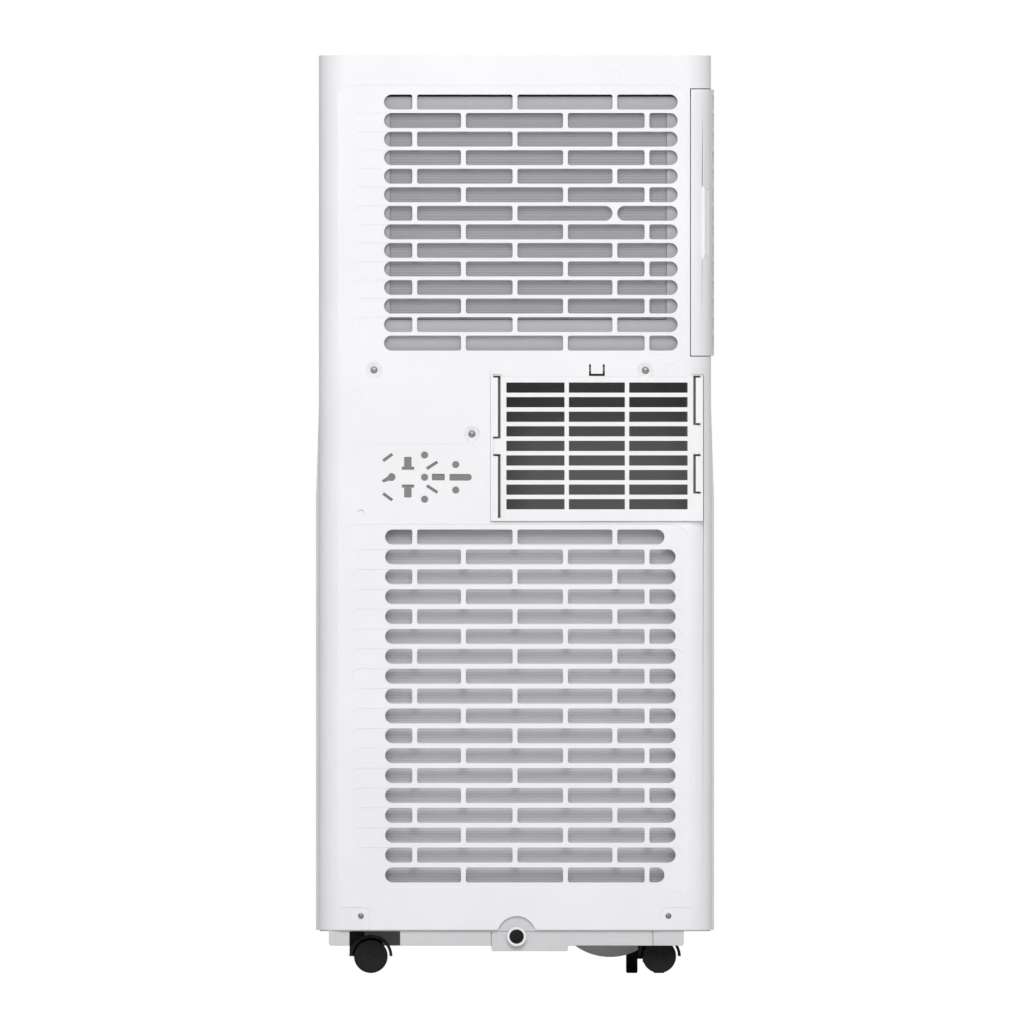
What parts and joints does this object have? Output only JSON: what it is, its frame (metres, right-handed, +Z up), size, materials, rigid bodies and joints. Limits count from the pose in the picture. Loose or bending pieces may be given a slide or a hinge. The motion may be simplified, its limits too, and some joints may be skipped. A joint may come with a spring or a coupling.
{
  "type": "portable air conditioner",
  "caption": "Tall rolling portable air conditioner with slotted rear intakes, rear exhaust port, side filter drawer, tilting outlet vanes and top controls.",
  "frame": {"origin": "floor level, under the middle of the unit", "axes": "+Z up, -Y the front with the air outlet, +Y the rear with the intake grilles and the exhaust port, +X the left when seen from the rear"},
  "size_m": [0.295, 0.3, 0.68],
  "materials": {
    "white_casing": "fine satin",
    "pale_plastic": "satin",
    "black_plastic": "satin",
    "grey_panel": "gloss",
    "black_lens": "gloss",
    "filter_net": "woven net",
    "fin_aluminium": "bare",
    "motor_steel": "galvanised",
    "screw_steel": "plated",
    "black_steel": "black enamel",
    "copper": "bare copper",
    "board_green": "solder resist"
  },
  "bodies": {
    "casing": {"accumulator": "black_steel", "base_pan": "pale_plastic", "capillary_tube": "copper", "compressor": "black_steel", "condensate_tray": "pale_plastic", "condenser_coil": "fin_aluminium", "condenser_motor": "motor_steel", "condenser_scroll": "pale_plastic", "condenser_tubes": "copper", "control_board": "board_green", "control_panel": "grey_panel", "discharge_pipe": "copper", "display_lens": "black_lens", "drain_spout": "white_casing", "electric_box": "black_plastic", "evaporator_coil": "fin_aluminium", "evaporator_motor": "motor_steel", "evaporator_scroll": "pale_plastic", "evaporator_tubes": "copper", "exhaust_duct": "pale_plastic", "exhaust_grille": "white_casing", "front_shell": "white_casing", "grip_cup_left": "white_casing", "grip_cup_right": "white_casing", "mid_deck": "pale_plastic", "outlet_housing": "pale_plastic", "rear_shell": "white_casing", "run_capacitor": "fin_aluminium", "screw_exhaust": "screw_steel", "screw_foot_1": "screw_steel", "screw_foot_2": "screw_steel", "screw_upper_1": "screw_steel", "screw_upper_2": "screw_steel", "suction_pipe": "copper", "supply_duct": "pale_plastic", "swing_motor": "motor_steel", "top_cover": "white_casing"},
    "filter_drawer": {"filter_door": "white_casing", "filter_frame": "pale_plastic", "filter_mesh": "filter_net"},
    "evaporator_fan": {"evaporator_fan": "pale_plastic"},
    "condenser_fan": {"condenser_fan": "pale_plastic"},
    "vane_link": {"vane_link": "pale_plastic"},
    "vane_1": {"vane_1": "white_casing"},
    "vane_2": {"vane_2": "white_casing"},
    "vane_3": {"vane_3": "white_casing"},
    "vane_4": {"vane_4": "white_casing"},
    "button_1": {"button_1": "white_casing"},
    "button_2": {"button_2": "white_casing"},
    "button_3": {"button_3": "white_casing"},
    "button_4": {"button_4": "white_casing"},
    "button_5": {"button_5": "white_casing"},
    "caster_rear_1": {"caster_hood_rear_1": "black_plastic"},
    "wheels_rear_1": {"caster_wheels_rear_1": "black_plastic"},
    "caster_rear_2": {"caster_hood_rear_2": "black_plastic"},
    "wheels_rear_2": {"caster_wheels_rear_2": "black_plastic"},
    "caster_front_1": {"caster_hood_front_1": "black_plastic"},
    "wheels_front_1": {"caster_wheels_front_1": "black_plastic"},
    "caster_front_2": {"caster_hood_front_2": "black_plastic"},
    "wheels_front_2": {"caster_wheels_front_2": "black_plastic"}
  },
  "joints": [
    {"name": "swivel_rear_1", "type": "hinge", "parent": "casing", "child": "caster_rear_1", "pos_m": [0.1171, 0.1098, 0.031], "axis": [0, 0, 1], "continuous": true},
    {"name": "roll_rear_1", "type": "hinge", "parent": "caster_rear_1", "child": "wheels_rear_1", "pos_m": [0.1068, 0.1098, 0.0125], "axis": [0, 1, 0], "continuous": true},
    {"name": "swivel_rear_2", "type": "hinge", "parent": "casing", "child": "caster_rear_2", "pos_m": [-0.0966, 0.1098, 0.031], "axis": [0, 0, 1], "continuous": true},
    {"name": "roll_rear_2", "type": "hinge", "parent": "caster_rear_2", "child": "wheels_rear_2", "pos_m": [-0.1069, 0.1098, 0.0125], "axis": [0, 1, 0], "continuous": true},
    {"name": "swivel_front_1", "type": "hinge", "parent": "casing", "child": "caster_front_1", "pos_m": [0.1171, -0.1098, 0.031], "axis": [0, 0, 1], "continuous": true},
    {"name": "roll_front_1", "type": "hinge", "parent": "caster_front_1", "child": "wheels_front_1", "pos_m": [0.1068, -0.1098, 0.0125], "axis": [0, 1, 0], "continuous": true},
    {"name": "swivel_front_2", "type": "hinge", "parent": "casing", "child": "caster_front_2", "pos_m": [-0.0966, -0.1098, 0.031], "axis": [0, 0, 1], "continuous": true},
    {"name": "roll_front_2", "type": "hinge", "parent": "caster_front_2", "child": "wheels_front_2", "pos_m": [-0.0966, -0.0995, 0.0125], "axis": [1, 0, 0], "continuous": true},
    {"name": "evaporator_fan_turn", "type": "hinge", "parent": "casing", "child": "evaporator_fan", "pos_m": [-0.01, 0.0726, 0.52695], "axis": [0, 1, 0], "continuous": true},
    {"name": "condenser_fan_turn", "type": "hinge", "parent": "casing", "child": "condenser_fan", "pos_m": [-0.026, 0.0726, 0.12971], "axis": [0, 1, 0], "continuous": true},
    {"name": "vane_tilt_1", "type": "hinge", "parent": "casing", "child": "vane_1", "pos_m": [0, -0.132, 0.589], "axis": [1, 0, 0], "range_deg": [-30, 30]},
    {"name": "vane_tilt_2", "type": "hinge", "parent": "casing", "child": "vane_2", "pos_m": [0, -0.132, 0.607], "axis": [1, 0, 0], "range_deg": [-30, 30]},
    {"name": "vane_tilt_3", "type": "hinge", "parent": "casing", "child": "vane_3", "pos_m": [0, -0.132, 0.625], "axis": [1, 0, 0], "range_deg": [-30, 30]},
    {"name": "vane_tilt_4", "type": "hinge", "parent": "casing", "child": "vane_4", "pos_m": [0, -0.132, 0.643], "axis": [1, 0, 0], "range_deg": [-30, 30]},
    {"name": "vane_link_pin", "type": "hinge", "parent": "vane_1", "child": "vane_link", "pos_m": [0, -0.123, 0.589], "axis": [1, 0, 0], "range_deg": [-30, 30]},
    {"name": "filter_slide", "type": "slide", "parent": "casing", "child": "filter_drawer", "axis": [-1, 0, 0], "range_m": [0, 0.245]},
    {"name": "button_press_1", "type": "slide", "parent": "casing", "child": "button_1", "axis": [0, 0, 1], "range_m": [-0.0015, 0], "stiffness_N_per_m": 600, "springref_m": 0.0005},
    {"name": "button_press_2", "type": "slide", "parent": "casing", "child": "button_2", "axis": [0, 0, 1], "range_m": [-0.0015, 0], "stiffness_N_per_m": 600, "springref_m": 0.0005},
    {"name": "button_press_3", "type": "slide", "parent": "casing", "child": "button_3", "axis": [0, 0, 1], "range_m": [-0.0015, 0], "stiffness_N_per_m": 600, "springref_m": 0.0005},
    {"name": "button_press_4", "type": "slide", "parent": "casing", "child": "button_4", "axis": [0, 0, 1], "range_m": [-0.0015, 0], "stiffness_N_per_m": 600, "springref_m": 0.0005},
    {"name": "button_press_5", "type": "slide", "parent": "casing", "child": "button_5", "axis": [0, 0, 1], "range_m": [-0.0015, 0], "stiffness_N_per_m": 600, "springref_m": 0.0005}
  ],
  "couplings": [
    {"joint": "vane_tilt_2", "follows": "vane_tilt_1", "ratio": 1},
    {"joint": "vane_tilt_3", "follows": "vane_tilt_1", "ratio": 1},
    {"joint": "vane_tilt_4", "follows": "vane_tilt_1", "ratio": 1},
    {"joint": "vane_link_pin", "follows": "vane_tilt_1", "ratio": -1}
  ]
}
